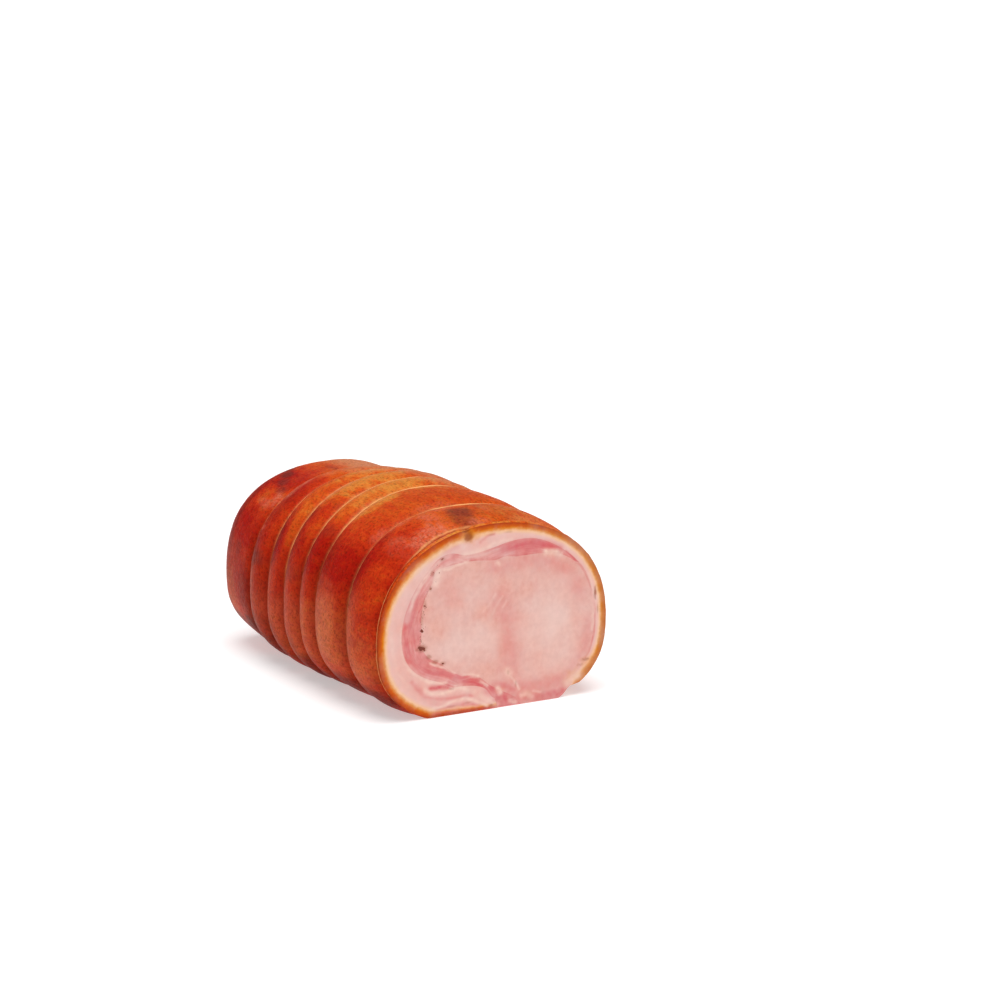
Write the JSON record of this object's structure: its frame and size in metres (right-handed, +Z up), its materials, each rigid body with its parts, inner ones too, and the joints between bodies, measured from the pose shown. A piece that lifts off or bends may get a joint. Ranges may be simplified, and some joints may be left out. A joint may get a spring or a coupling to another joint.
{
  "type": "porchetta",
  "caption": "Half of a rolled, tied and roasted pork belly round a loin, cut across to show the rind, fat, belly lean and pale loin.",
  "frame": {"origin": "centre of the bounding box in X and Y, on the plane that the roast rests on", "axes": "+Z up; the roll lies along Y, with its cut face towards -Y and its rounded end towards +Y; +X to the right when looking at the cut face"},
  "size_m": [0.1796, 0.26, 0.1346],
  "materials": {
    "rind": "roasted skin, red-brown and slightly glossy, over cream fat",
    "lean": "moist cooked lean, dark pink",
    "loin": "moist cooked loin, pale pink"
  },
  "bodies": {
    "root": {"rind_and_fat": "rind", "belly_lean": "lean", "loin": "loin"}
  },
  "joints": []
}
